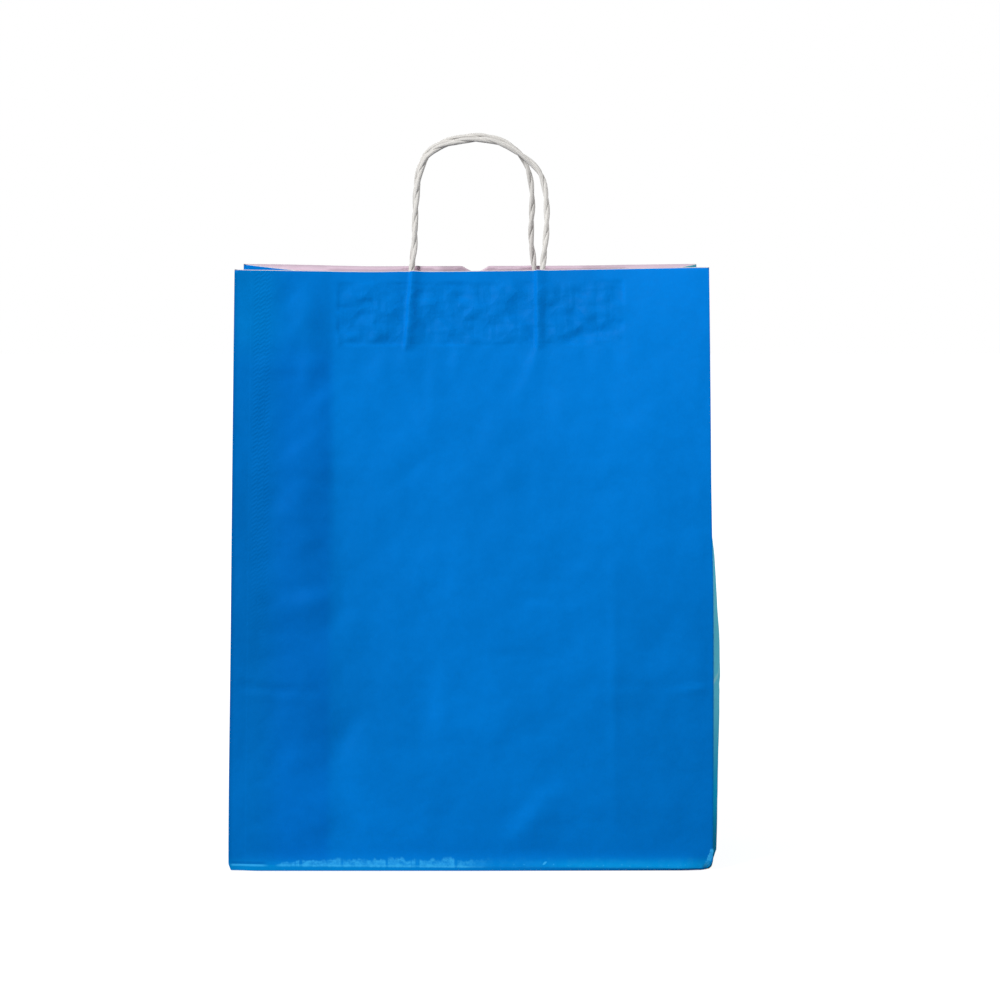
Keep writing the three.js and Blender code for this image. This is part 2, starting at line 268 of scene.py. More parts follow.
backRoute = [
    (-0.0444, 0.0358, 0.3510), (-0.0444, 0.0338, 0.3709), (-0.0443, 0.0317, 0.3909),
    (-0.0436, 0.0304, 0.4021), (-0.0421, 0.0290, 0.4137), (-0.0414, 0.0270, 0.4272),
    (-0.0409, 0.0250, 0.4408), (-0.0402, 0.0228, 0.4543), (-0.0384, 0.0210, 0.4644),
    (-0.0350, 0.0200, 0.4728), (-0.0289, 0.0195, 0.4793), (-0.0214, 0.0193, 0.4832),
    (-0.0126, 0.0192, 0.4858), (-0.0032, 0.0192, 0.4871), (0.0063, 0.0192, 0.4870),
    (0.0151, 0.0193, 0.4850), (0.0225, 0.0195, 0.4815), (0.0293, 0.0200, 0.4758),
    (0.0340, 0.0210, 0.4684), (0.0371, 0.0228, 0.4576), (0.0383, 0.0250, 0.4442),
    (0.0378, 0.0270, 0.4306), (0.0376, 0.0290, 0.4174), (0.0392, 0.0306, 0.4028),
    (0.0401, 0.0320, 0.3908), (0.0400, 0.0344, 0.3709), (0.0400, 0.0366, 0.3509),
]


def smoothLine(points, perSpan=24):
    # one smooth curve through the points, with spans eased by the root of their length
    pts = [Vector(p) for p in points]
    pts = [pts[0] * 2 - pts[1]] + pts + [pts[-1] * 2 - pts[-2]]
    line = []
    for i in range(1, len(pts) - 2):
        p0, p1, p2, p3 = pts[i - 1:i + 3]
        d0, d1, d2 = (p1 - p0).length ** 0.5, (p2 - p1).length ** 0.5, (p3 - p2).length ** 0.5
        t1 = ((p1 - p0) / d0 - (p2 - p0) / (d0 + d1) + (p2 - p1) / d1) * d1
        t2 = ((p2 - p1) / d1 - (p3 - p1) / (d1 + d2) + (p3 - p2) / d2) * d1
        for k in range(perSpan):
            t = k / perSpan
            line.append(p1 * (2 * t ** 3 - 3 * t ** 2 + 1) + t1 * (t ** 3 - 2 * t ** 2 + t)
                        + p2 * (3 * t ** 2 - 2 * t ** 3) + t2 * (t ** 3 - t ** 2))
    line.append(pts[-2])
    return line


def evenLine(points, spacing):
    line = smoothLine(points)
    walked = np.concatenate([[0], np.cumsum([(b - a).length for a, b in zip(line, line[1:])])])
    count = int(round(walked[-1] / spacing))
    at = np.linspace(0, walked[-1], count + 1)
    co = np.array(line)
    return np.stack([np.interp(at, walked, co[:, k]) for k in range(3)], axis=1), at


def strandProfile(angle):
    # outline of two strands lying against each other, as a radius at an angle
    offset, radius = handleSet["strandOffset"], handleSet["strandRadius"]
    side = offset * np.abs(np.cos(angle))
    reach = side + np.sqrt(np.maximum(radius ** 2 - (offset * np.sin(angle)) ** 2, 0))
    fromMeet = np.abs(np.abs(angle) - math.pi / 2)
    return reach - handleSet["grooveDepth"] * np.exp(-(fromMeet / handleSet["grooveWide"]) ** 2)


def makeHandle(name, route, startTurn):
    path, walked = evenLine(route, handleSet["ringSpacing"])
    radius = handleSet["diameter"] / 2
    deselectAll()
    bpy.ops.mesh.primitive_cylinder_add(vertices=handleSet["sides"], radius=radius, depth=1,
                                        location=(0, 0, 0.5))
    bpy.ops.object.transform_apply(location=True, rotation=False, scale=False)
    cord = namePiece(name)
    cutWhere(cord, "EDGE", len(path) - 2, lambda a, b: abs(a.z - b.z) > 0.5)
    co = readPoints(cord.data)
    ring = np.rint(co[:, 2] * (len(path) - 1)).astype(int)
    angle = np.arctan2(co[:, 1], co[:, 0])
    # frames carried along the path without twisting
    way = np.gradient(path, axis=0)
    way /= np.linalg.norm(way, axis=1, keepdims=True)
    flat = np.empty_like(path)
    normal = np.cross(way[0], (0, 1, 0))
    for i, w in enumerate(way):
        normal = normal - w * normal.dot(w)
        normal /= np.linalg.norm(normal)
        flat[i] = normal
    side = np.cross(way, flat)
    amount, scale, seed = handleSet["loose"]
    loose = amount * np.array([noise.noise(Vector((w * scale, startTurn, seed))) for w in walked])
    turn = 2 * math.pi * walked / handleSet["lay"] + startTurn + loose
    amount, scale, seed = handleSet["swell"]
    swell = 1 + amount * np.array([noise.noise(Vector((w * scale, seed, startTurn))) for w in walked])
    # the paper strip of each strand is rolled, so fine pleats run round it
    onto = walked[ring]
    sway, swayTurn = handleSet["pleatSway"]
    roll = angle * handleSet["pleats"] + onto * handleSet["pleatTurn"]
    pleat = np.sin(roll + sway * np.sin(angle * 2 + onto * swayTurn)) * handleSet["pleatDepth"]
    x, y = radius * np.cos(angle), radius * np.sin(angle)
    around = np.stack([onto * handleSet["roughStretch"], x, y], axis=1)
    rough = cloud(around, handleSet["roughScale"], startTurn) * handleSet["roughDepth"]
    reach = strandProfile(angle) * swell[ring] + pleat + rough
    theta = angle + turn[ring]
    place = path[ring] + flat[ring] * (reach * np.cos(theta))[:, None]
    place += side[ring] * (reach * np.sin(theta))[:, None]
    writePoints(cord.data, place)
    layMap(cord.data, "lay", np.stack([onto, (angle / (2 * math.pi)) % 1.0], axis=1))
    pickPiece(cord)
    editMode()
    faceOut()
    objectMode()
    bpy.ops.object.shade_smooth()
    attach(cord, "root")
    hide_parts(name.replace("Cord", "_handle"))
    return cord


frontCord = makeHandle("frontCord", frontRoute, 0.4)
backCord = makeHandle("backCord", backRoute, 1.9)
print("handles twisted:", len(frontCord.data.polygons), "faces each")


# the printed bag: its cells, and where the flat sheet is marked, in metres
bagMarks = {
    "rowsTop": 15, "rowsLow": 65, "rowsFoot": 3, "columns": 65, "gussetColumns": 25,
    "topZone": 0.325, "footZone": 0.0075,
    "finePatch": (0.343, -0.096, 0.108),  # finer above this height, from and to
    "fineBackLegs": (0.346, 0.0095), "fineFrontLegs": (0.342, 0.0085),
    "fineCorner": (0.020, 0.016), "fineNotch": (0.390, 0.012),
    "patchAlong": (0.0697, 0.263), "patchUp": (0.351, 0.3925), "patchEdge": 0.0012, "backShift": 0.002,
    "frontLegs": [(0.1203, 0.1163), (0.2056, 0.2056)],  # at the mouth and at the patch's foot
    "backLegs": [(0.1967, 0.1967), (0.1152, 0.1152)],
    "legJitter": (0.0004, 150, 40),
    "ridge": 0.0019, "ridgeWide": (0.0017, 0.0048), "ridgeFrom": (0.345, 0.353),
    "valley": (0.074, 0.066), "valleyTurn": (0.18, 0.33), "valleyDeep": 0.0024, "valleyWide": (0.013, 0.024),
    "foldLine": 0.122,  # where the flat bag's bottom was folded up
    "foldBow": 0.003, "foldDeep": 0.0004, "foldWide": 0.0022,
    "flare": 0.0022, "flareUp": (0.003, 0.013), "flarePower": 1.5,
    "flareLeft": (0.002, 0.020), "flareRight": (0.300, 0.316),
}

# uneven paper: height in metres, scale and seed of each layer, and where it lies
waveSet = {
    "sheet": [(0.0010, 12, 4.0), (0.0008, 34, 9.0), (0.00036, 85, 6.0)],
    "creased": (0.0005, 45, 7.0), "valley": [(0.5, 18, 2.0)],
    "waves": [(0.0014, 26, 5.0)], "fineWaves": (0.0007, 58, 11.0), "waveStretch": (0.6, 1.0, 1.0),
    "wavesFrom": (0.008, 0.022), "wavesTo": (0.055, 0.075),
    "lumps": [(0.0015, 58, 1.0)],
    "fineLumps": [(0.0007, 120, 3.0)], "fineStretch": (1.0, 1.5, 1.0),
    "ridgedLumps": (0.0009, 85, 8.0), "ridgedStretch": (0.8, 1.2, 1.0),
    "lumpSink": 0.0002, "lumpEase": (0.38, 0.392), "glueSink": 0.0003, "legClear": 0.007,
    "gusset": [(0.0010, 26, 6.0), (0.0005, 60, 8.0)], "gussetFold": (0.0008, 0.0025),
    "gussetFrom": (0.006, 0.03), "panelAlong": [(0.0, 0.03), (0.97, 1.0)], "panelUp": (0.008, 0.03),
}

# creases and dents of the front, in millimetres: along, up, length, breadth, turn in degrees, height
frontDents = [
    # waves over the left gusset's fold
    (50, 373, 19, 7, 65, 1.8), (37, 382, 9, 4, 55, -0.9), (50, 336, 13, 6, 85, 1.6),
    (61, 313, 12, 5, 45, 1.1), (48, 281, 12, 6, 40, 1.0), (48, 267, 16, 12, 4, 1.5),
    (47, 219, 16, 9, 2, 1.8), (54, 178, 19, 7, 12, 1.8), (30, 245, 12, 5, 20, -0.7),
    (27, 300, 14, 5, 70, 0.7), (36, 159, 11, 5, 8, -0.8), (13, 129, 15, 6, 4, 0.7),
    (79, 164, 12, 7, 15, 0.8),
    # dents lower down
    (77, 91, 17, 7, 58, -1.5), (131, 109, 31, 7, 88, -1.3), (200, 34, 30, 8, 51, 2.3),
    (217, 59, 5, 4, 40, -0.5), (166, 20, 11, 5, 50, -0.5), (286, 154, 17, 6, 60, -0.5),
    # thin creases
    (27, 120, 28, 2, -3, -0.9), (311, 123, 13, 2, 9, 1.0), (306, 62, 11, 1.5, -3, 0.35),
    (255, 121, 74, 3, 90, 0.65), (206, 181, 17, 2, -4, -0.35), (231, 177, 10, 2, 10, 0.35),
    (187, 144, 17, 3, 3, -0.5), (209, 141, 15, 3, 10, -0.4), (122, 267, 10, 3, 48, -0.6),
    # below the cords' ends
    (99, 334, 14, 6, 70, 0.7), (116, 340, 9, 6, 86, 0.9), (135, 330, 18, 4, 86, 0.8),
    (151, 340, 10, 4, 80, 0.8), (203, 339, 11, 4, 70, 1.2), (195, 321, 9, 4, 45, 0.5),
    (211, 313, 12, 6, 30, -0.5),
    # glue lumps over the patch
    (147, 369, 13, 5, 0, -0.6), (161, 369, 13, 3, 83, 0.6), (235, 368, 13, 4, 62, 0.8),
    (244, 358, 13, 5, 4, -0.8), (172, 383, 11, 5, 55, -0.6), (79, 370, 11, 4, 4, -0.5),
    (132, 360, 11, 4, 20, 0.4),
    # broad shallow ones in the middle
    (183, 261, 20, 7, 35, 0.5), (246, 253, 16, 5, 4, -0.5), (229, 288, 17, 6, 20, 0.5),
]


def dentHeight(dents, s, h):
    total = np.zeros_like(s)
    for along, up, length, breadth, turn, tall in dents:
        c, n = math.cos(math.radians(turn)), math.sin(math.radians(turn))
        right, above = s * 1000 - along, h * 1000 - up
        p, q = right * c + above * n, above * c - right * n
        reach = np.where(q * tall < 0, 1.7, 1.0) * breadth  # gentler on its lower side
        total += tall / 1000 * np.exp(-(p / length) ** 2 - (q / reach) ** 2)
    return total


def ridged(points, layer):
    tall, scale, seed = layer
    return tall * np.abs(cloud(points, scale, seed))


def patchRelief(side, s, h, points):
    # the patch behind the mouth, glued in lumps, and the cord legs under the sheet
    (left, right), legs = bagMarks["patchAlong"], bagMarks["frontLegs"]
    if side > 0:
        left, right = (width - edge + bagMarks["backShift"] for edge in (right, left))
        legs = bagMarks["backLegs"]
    (low, top), edge = bagMarks["patchUp"], bagMarks["patchEdge"]
    onPatch = ramp(s, left - edge, left + edge) * (1 - ramp(s, right - edge, right + edge))
    onPatch = onPatch * ramp(h, low - edge, low + edge) * (1 - ramp(h, top - edge, top + edge))
    lumps = clouds(points, waveSet["lumps"]) + clouds(points * waveSet["fineStretch"], waveSet["fineLumps"])
    lumps += ridged(points * waveSet["ridgedStretch"], waveSet["ridgedLumps"]) - waveSet["lumpSink"]
    for mouth, foot in legs:
        lumps = lumps * (1 - 0.8 * np.exp(-((s - 0.5 * (mouth + foot)) / waveSet["legClear"]) ** 2))
    relief = onPatch * (lumps * (1 - 0.5 * ramp(h, *waveSet["lumpEase"])) - waveSet["glueSink"])
    jitter, scale, seed = bagMarks["legJitter"]
    for mouth, foot in legs:
        leg = mix(foot, mouth, np.clip((h - low) / (height - low), 0, 1))
        off = s - leg - jitter * cloud(points * (0, 1, 0), scale, foot * seed)
        run = np.where(off < 0, *bagMarks["ridgeWide"])
        relief += bagMarks["ridge"] * np.exp(-(off / run) ** 2) * ramp(h, *bagMarks["ridgeFrom"])
    return relief


def panelRelief(side, share, rise):
    # how far the sheet stands out from the plain panel
    s, h = share * width, rise
    if side > 0:
        s = width - s  # the back is marked the other way round
    points = np.stack([s, h, np.full_like(s, 1.5 * side)], axis=1)
    middle = np.abs(2 * share - 1)
    relief = clouds(points, waveSet["sheet"]) + ridged(points, waveSet["creased"])
    # a valley and waves over the left gusset's fold
    off = s - mix(*bagMarks["valley"], ramp(h, *bagMarks["valleyTurn"]))
    run = np.where(off < 0, *bagMarks["valleyWide"])
    uneven = 0.8 + clouds(points, waveSet["valley"])
    relief -= bagMarks["valleyDeep"] * np.exp(-np.abs(off / run) ** 1.5) * uneven
    stretched = points * waveSet["waveStretch"]
    waves = clouds(stretched, waveSet["waves"]) + ridged(stretched, waveSet["fineWaves"])
    relief += waves * (1 - ramp(s, *waveSet["wavesTo"])) * ramp(s, *waveSet["wavesFrom"])
    # the line where the flat bag's bottom was folded up
    line = bagMarks["foldLine"] + bagMarks["foldBow"] * middle ** 3
    folded = np.exp(-((h - line) / bagMarks["foldWide"]) ** 2) * (0.25 + 0.75 * middle ** 4)
    relief -= bagMarks["foldDeep"] * folded
    relief += (1.0 if side < 0 else 0.5) * dentHeight(frontDents, s, h)
    start, end = waveSet["panelAlong"]
    relief *= ramp(share, *start) * (1 - ramp(share, *end)) * ramp(h, *waveSet["panelUp"])
    relief += patchRelief(side, s, h, points)
    # the foot flares out down to its crease
    if side < 0:
        away = ramp(s, *bagMarks["flareLeft"]) * (1 - ramp(s, *bagMarks["flareRight"]))
        low, top = bagMarks["flareUp"]
        level = np.clip((top - h) / (top - low), 0, 1)
        relief += bagMarks["flare"] * level ** bagMarks["flarePower"] * away
    return relief


def standingOut(side, share, rise, inside):
    # the panel's points with their relief, or as far inside them as a patch lies
    away = panelRelief(side, share, rise) - inside
    return panelPoint(side, share, rise) + panelOutward(side, share, rise) * away[:, None]


def crushCorner(co):
    corner = np.array((width / 2 - sideShift, -depth / 2, 0))
    near = np.clip(1 - np.linalg.norm(co - corner, axis=1) / bagForm["crushReach"], 0, 1)
    pushed = bagForm["crushDepth"] * near ** bagForm["crushPower"]
    co[:, 0] -= pushed
    co[:, 1] += 0.5 * pushed
    return co


def cutCells(bag):
    # rows: close together at the mouth and the foot
    top, foot, small = bagMarks["topZone"], bagMarks["footZone"], 1e-5
    for level in (top, foot):
        bpy.ops.mesh.select_all(action="SELECT")
        bpy.ops.mesh.bisect(plane_co=(0, 0, level), plane_no=(0, 0, 1))
    objectMode()
    rows = bagMarks["rowsTop"], bagMarks["rowsLow"], bagMarks["rowsFoot"]
    for low, high, cuts in zip((top, foot, 0), (height, top, foot), rows):
        cutWhere(bag, "EDGE", cuts, lambda a, b: (
            abs(a.z - b.z) > 1e-4 and min(a.z, b.z) > low - small and max(a.z, b.z) < high + small))
    cutWhere(bag, "EDGE", bagMarks["columns"], lambda a, b: abs(a.x - b.x) > 1e-4)
    cutWhere(bag, "EDGE", bagMarks["gussetColumns"], lambda a, b: abs(a.y - b.y) > 1e-4)
    # finer cells on the front, and again where a handle shows through
    cutWhere(bag, "FACE", 1, lambda c, n: n.y < -0.9)
    over, left, right = bagMarks["finePatch"]
    cutWhere(bag, "FACE", 1, lambda c, n: abs(n.y) > 0.9 and c.z > over and left < c.x < right)
    for side, legs, zone in ((1, "backLegs", "fineBackLegs"), (-1, "frontLegs", "fineFrontLegs")):
        over, reach = bagMarks[zone]
        legs = [side * (width - mouth - foot) / 2 for mouth, foot in bagMarks[legs]]
        cutWhere(bag, "FACE", 1, lambda c, n: (
            n.y * side > 0.9 and c.z > over and min(abs(c.x - leg) for leg in legs) < reach))
    under, reach = bagMarks["fineCorner"]
    for _ in range(2):
        cutWhere(bag, "FACE", 1, lambda c, n: n.y < -0.9 and c.z < under and c.x > width / 2 - reach)
    over, reach = bagMarks["fineNotch"]
    cutWhere(bag, "FACE", 1, lambda c, n: (
        n.y > 0.9 and c.z > over and abs(c.x - bagForm["notchOffset"]) < reach))


def layFlat(mesh, box):
    # the sheet laid flat, for patterns that follow it
    uv = mesh.uv_layers.new(name="sheet")
    box = box + (width / 2, depth / 2, 0)
    for face in mesh.polygons:
        n = face.normal
        for loop in face.loop_indices:
            x, y, z = box[mesh.loops[loop].vertex_index]
            if n.z < -0.9:
                flat = (x, -y)
            elif n.y < -0.9:
                flat = (x, z)
            elif n.x > 0.9:
                flat = (width + y, z)
            elif n.y > 0.9:
                flat = (2 * width + depth - x, z)
            else:
                flat = (2 * width + 2 * depth - y, z)
            uv.data[loop].uv = flat


def makeBag():
    deselectAll()
    bpy.ops.mesh.primitive_cube_add(size=1, location=(0, 0, height / 2), scale=(width, depth, height))
    bpy.ops.object.transform_apply(location=True, rotation=False, scale=True)
    bag = namePiece("printedBag")
    editSelect(bag, "FACE", lambda c, n: n.z > 0.9)
    bpy.ops.mesh.delete(type="ONLY_FACE")
    cutCells(bag)
    mesh = bag.data
    box = readPoints(mesh)
    layFlat(mesh, box)
    tiny = 1e-6
    x, y, z = box.T
    share, across = x / width + 0.5, y / depth + 0.5
    onFront, onBack = y < -depth / 2 + tiny, y > depth / 2 - tiny
    onLeft = (x < -width / 2 + tiny) & ~onFront & ~onBack
    onRight = (x > width / 2 - tiny) & ~onFront & ~onBack
    onBase = ~(onFront | onBack | onLeft | onRight)
    # the lowest rows follow the foot's crease
    leftFront = np.clip(0.5 - x / width, 0, 1) * np.clip(0.5 - y / depth, 0, 1)
    creaseRise = mix(*bagForm["footRise"], leftFront)
    foot = bagMarks["footZone"]
    step = foot / (bagMarks["rowsFoot"] + 1)
    row = np.interp(z, (0, step, foot), (0, 1, 2))
    low = np.where(row <= 1, row * creaseRise, creaseRise + (row - 1) * (foot - creaseRise))
    rise = np.where(z < foot - tiny, low, z)
    # thumb notch in the back panel's mouth
    notchRun = np.clip(np.abs(x - bagForm["notchOffset"]) / (bagForm["notchWidth"] / 2), 0, 1)
    notch = bagForm["notchDepth"] * (1 - notchRun ** bagForm["notchPower"])
    deep, middle, breadth = bagForm["mouthDip"]
    dip = deep * np.exp(-((x - middle) / breadth) ** 2)
    rise = np.where(onBack, rise - (notch + dip) * ramp(z, height - bagForm["mouthZone"], height), rise)
    place = np.zeros_like(box)
    for side, mask in ((-1, onFront), (1, onBack)):
        place[mask] = standingOut(side, share[mask], rise[mask], 0)
    deep, breadth = waveSet["gussetFold"]
    for side, mask in ((-1, onLeft), (1, onRight)):
        s, h = across[mask], rise[mask]
        place[mask] = gussetPoint(side, s, h)
        loose = np.minimum(1, 4 * np.minimum(s, 1 - s)) * ramp(h, *waveSet["gussetFrom"])
        crumple = clouds(np.stack([s * depth, h, np.full_like(h, 4.0 * side)], axis=1), waveSet["gusset"])
        crumple -= deep * np.exp(-((h - bagMarks["foldLine"]) / breadth) ** 2)
        place[mask, 0] += side * crumple * loose
    # walls turn in below the crease, down to the base
    footInset = bagForm["footInset"]
    insetSide = footInset * np.clip(1 - rise / creaseRise, 0, 1)
    inset = insetSide * (1 - np.clip(2 * leftFront, 0, 1))
    turned = (rise < creaseRise - tiny) & ~onBase
    place[turned, 0] = (place[turned, 0] + sideShift) * (1 - 2 * insetSide[turned] / width) - sideShift
    place[turned, 1] *= 1 - 2 * inset[turned] / depth
    place[turned, 2] = np.maximum(place[turned, 2], 2 * paper)
    place[onBase, 0] = x[onBase] * (1 - 2 * footInset / width) - sideShift
    place[onBase, 1] = y[onBase] * (1 - 2 * footInset / depth)
    place[onBase, 2] = 2 * paper
    writePoints(mesh, crushCorner(place))
    return bag


bag = makeBag()
print("sheet folded:", len(bag.data.polygons), "faces")


# base flaps: front one first, back one over it, with slanting ends
flapSet = {"lap": 0.015, "inset": 0.00176, "thickness": 0.00014, "cuts": 11}


def makeFlap(name, side, low):
    halfWidth, halfDepth = width / 2 - flapSet["inset"], depth / 2 - flapSet["inset"]
    reach = halfDepth + flapSet["lap"]
    deselectAll()
    bpy.ops.mesh.primitive_plane_add(size=1, location=(0, 0, 0))
    flap = namePiece(name)
    cutWhere(flap, "EDGE", flapSet["cuts"], lambda a, b: True)
    co = readPoints(flap.data)
    t = co[:, 1] + 0.5  # 0 at the wall, 1 at the free edge
    half = halfWidth - reach * t - bagForm["crushDepth"] * (1 - t) * (co[:, 0] > 0)
    x = 2 * co[:, 0] * half - sideShift
    y = side * (halfDepth - reach * t)
    writePoints(flap.data, np.stack([x, y, np.full_like(x, low)], axis=1))
    editSelect(flap, "FACE", lambda c, n: True)
    faceOut()
    bpy.ops.mesh.extrude_region_move(TRANSFORM_OT_translate={"value": (0, 0, flapSet["thickness"])})
    faceOut()
    objectMode()
    x, y = readPoints(flap.data).T[:2]
    layMap(flap.data, "sheet", np.stack([x + width / 2, -y - depth / 2], axis=1))
    return flap


frontFlap = makeFlap("frontFlap", -1, paper)
backFlap = makeFlap("backFlap", 1, 0)


# patches that hold the cords, inside the mouth
patchSet = {
    "width": 0.193, "height": 0.042, "drop": 0.007, "offset": 0.0065, "clearance": 0.0003,
    "columns": 150, "rows": 30, "wrinkles": [(0.00044, 90, 3.0), (0.00022, 200, 5.0)], "smooth": 40,
}
humpAcross = np.array([-3.5, -1.6, -1.15, -0.6, 0, 0.6, 1.15, 1.6, 3.5]) * handleSet["diameter"] / 2
humpHeight = np.array([0, 1.1, 1.7, 2.15, 2.3, 2.15, 1.7, 1.1, 0]) * handleSet["diameter"] / 2


def makePatch(name, node, side, route, bed, rides):
    deselectAll()
    columns, rows = patchSet["columns"], patchSet["rows"]
    bpy.ops.mesh.primitive_grid_add(x_subdivisions=columns, y_subdivisions=rows, size=1)
    patch = namePiece(name)
    co = readPoints(patch.data)
    top = height - patchSet["drop"]
    level = co[:, 1] + 0.5
    rise = mix(top - patchSet["height"], top, level)
    x = patchSet["offset"] - sideShift + co[:, 0] * patchSet["width"]
    share = np.full_like(x, 0.5)
    for _ in range(8):
        share = share + (x - panelPoint(side, share, rise)[:, 0]) / width
    lift = np.full_like(x, bed)
    if rides:
        hump = np.zeros_like(x)
        for foot, leave in ((route[0], route[2]), (route[-1], route[-3])):
            hump = np.maximum(hump, np.interp(x - mix(foot[0], leave[0], level), humpAcross, humpHeight))
        points = np.stack([x, rise, np.full_like(x, 2.0 * side)], axis=1)
        lift = lift + hump + sum(ridged(points, layer) for layer in patchSet["wrinkles"])
    writePoints(patch.data, standingOut(side, share, rise, lift))
    layMap(patch.data, "sheet", np.stack([x, rise], axis=1))
    pickPiece(patch)
    thicken(patch, offset=-side)
    bpy.ops.object.shade_smooth_by_angle(angle=math.radians(patchSet["smooth"]))
    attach(patch, "root")
    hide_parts(node)
    return patch


bedLow = paper + patchSet["clearance"]
bedHigh = bedLow + paper + patchSet["clearance"]
patches = [
    makePatch(name + part, f"{name}_patch_{part.lower()}", side, route, bed, rides)
    for name, side, route in (("front", -1, frontRoute), ("back", 1, backRoute))
    for part, bed, rides in (("Backing", bedLow, False), ("Cover", bedHigh, True))
]
print("patches laid:", len(patches))


# node helpers for the finishes
def srgb(*colour):
    parts = [c / 255 for c in colour]
    return tuple(c / 12.92 if c <= 0.04045 else ((c + 0.055) / 1.055) ** 2.4 for c in parts) + (1.0,)


class Finish:
    def __init__(self, tree):
        self.tree = tree

    def add(self, kind, **values):
        # a value goes to the node's own setting of that name, or else to its socket
        node = self.tree.nodes.new(kind)
        for key, value in values.items():
            if hasattr(node, key):
                setattr(node, key, value)
            else:
                self.put(node.inputs[key], value)
        return node

    def put(self, socket, value):
        if isinstance(value, bpy.types.NodeSocket):
            self.tree.links.new(value, socket)
        else:
            socket.default_value = value

    def math(self, operation, *values):
        node = self.add("ShaderNodeMath", operation=operation)
        for socket, value in zip(node.inputs, values):
            self.put(socket, value)
        return node.outputs[0]

    def chain(self, operation, values):
        total = values[0]
        for value in values[1:]:
            total = self.math(operation, total, value)
        return total

    def times(self, *values):
        return self.chain("MULTIPLY", values)

    def plus(self, *values):
        return self.chain("ADD", values)

    def less(self, *values):
        return self.chain("SUBTRACT", values)

    def blend(self, factor, a, b, mode="MIX"):
        node = self.add("ShaderNodeMix", data_type="RGBA", blend_type=mode, Factor=factor)
        self.put(node.inputs[6], a)
        self.put(node.inputs[7], b)
        return node.outputs[2]

    def tint(self, colour, value):
        return self.blend(1.0, colour, value, "MULTIPLY")

    def noise(self, vector, scale, detail, rough):
        node = self.add("ShaderNodeTexNoise", Vector=vector, Scale=scale, Detail=detail, Roughness=rough)
        return node.outputs["Fac"]

    def range(self, value, low, high, toLow=0.0, toHigh=1.0):
        node = self.add("ShaderNodeMapRange", interpolation_type="SMOOTHSTEP", Value=value)
        for key, v in (("From Min", low), ("From Max", high), ("To Min", toLow), ("To Max", toHigh)):
            self.put(node.inputs[key], v)
        return node.outputs["Result"]

    def paint(self, shader, colour, roughness, specular, lift):
        bump = self.add("ShaderNodeBump", Strength=0.7, Distance=1.0, Height=lift)
        for key, value in (("Base Color", colour), ("Roughness", roughness),
                           ("Specular IOR Level", specular), ("Normal", bump.outputs[0])):
            self.put(shader.inputs[key], value)


def newFinish(name, kind=Finish):
    material = bpy.data.materials.new(name)
    material.use_nodes = True
    return material, kind(material.node_tree), material.node_tree.nodes["Principled BSDF"]


# paper fibre, shared by every paper: a height and a fine colour mottle
fibreSet = {"stretch": (1.0, 0.45, 1.0), "fine": (900, 3, 0.6), "soft": (160, 3, 0.55)}
fibreGroup = bpy.data.node_groups.new("paperFibre", "ShaderNodeTree")
fibreGroup.interface.new_socket("Vector", in_out="INPUT", socket_type="NodeSocketVector")
for name in ("Height", "Mottle"):
    fibreGroup.interface.new_socket(name, in_out="OUTPUT", socket_type="NodeSocketFloat")
g = Finish(fibreGroup)
groupIn, groupOut = g.add("NodeGroupInput"), g.add("NodeGroupOutput")
stretch = g.add("ShaderNodeMapping", Vector=groupIn.outputs["Vector"], Scale=fibreSet["stretch"])
fine = g.noise(stretch.outputs[0], *fibreSet["fine"])
soft = g.noise(groupIn.outputs["Vector"], *fibreSet["soft"])
g.put(groupOut.inputs["Height"], g.plus(g.times(fine, 0.6), g.times(soft, 0.4)))
g.put(groupOut.inputs["Mottle"], g.plus(g.times(soft, 0.6), g.times(fine, 0.4)))


def placeFibre(f, vector):
    node = f.add("ShaderNodeGroup", node_tree=fibreGroup)
    f.put(node.inputs["Vector"], vector)
    return node.outputs["Height"], node.outputs["Mottle"]


